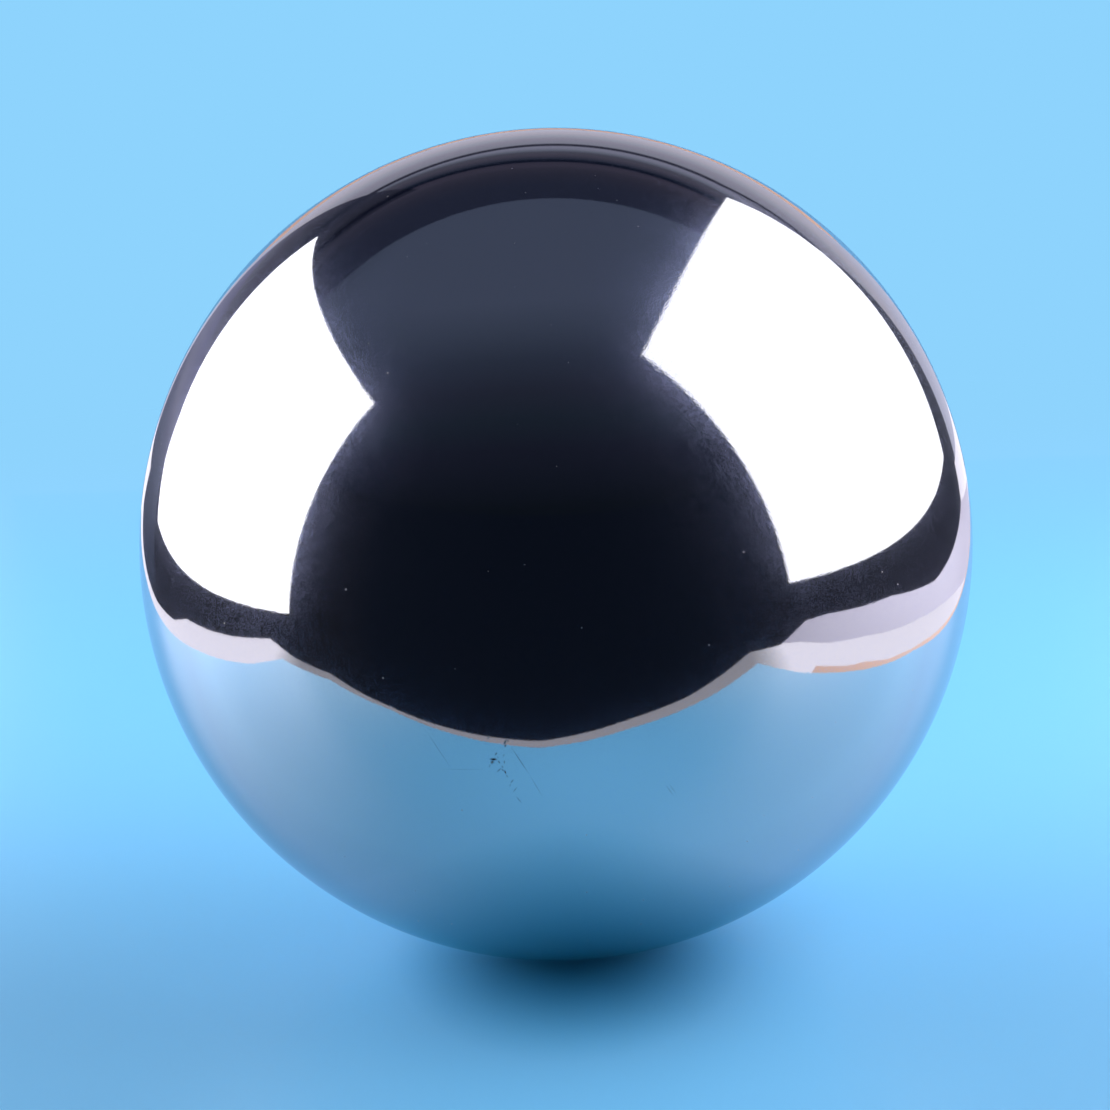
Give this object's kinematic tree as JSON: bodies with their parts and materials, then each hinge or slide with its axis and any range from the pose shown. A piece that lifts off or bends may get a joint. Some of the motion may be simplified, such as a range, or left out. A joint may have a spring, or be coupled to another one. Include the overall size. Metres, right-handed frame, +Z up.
{
  "type": "steel ball",
  "caption": "Hollow mirror-polished steel ball, welded from pressed half shells and ground seamless, for use as a reflecting globe or a decorative sphere.",
  "frame": {"origin": "centre of the ball", "axes": "+Z up, along the axis that the hidden weld runs round; the ball is the same all round it"},
  "size_m": [0.2, 0.2, 0.2],
  "materials": {
    "polished_steel": "mirror polished, with fine hairline scuffs"
  },
  "bodies": {
    "root": {"ball": "polished_steel"}
  },
  "joints": []
}
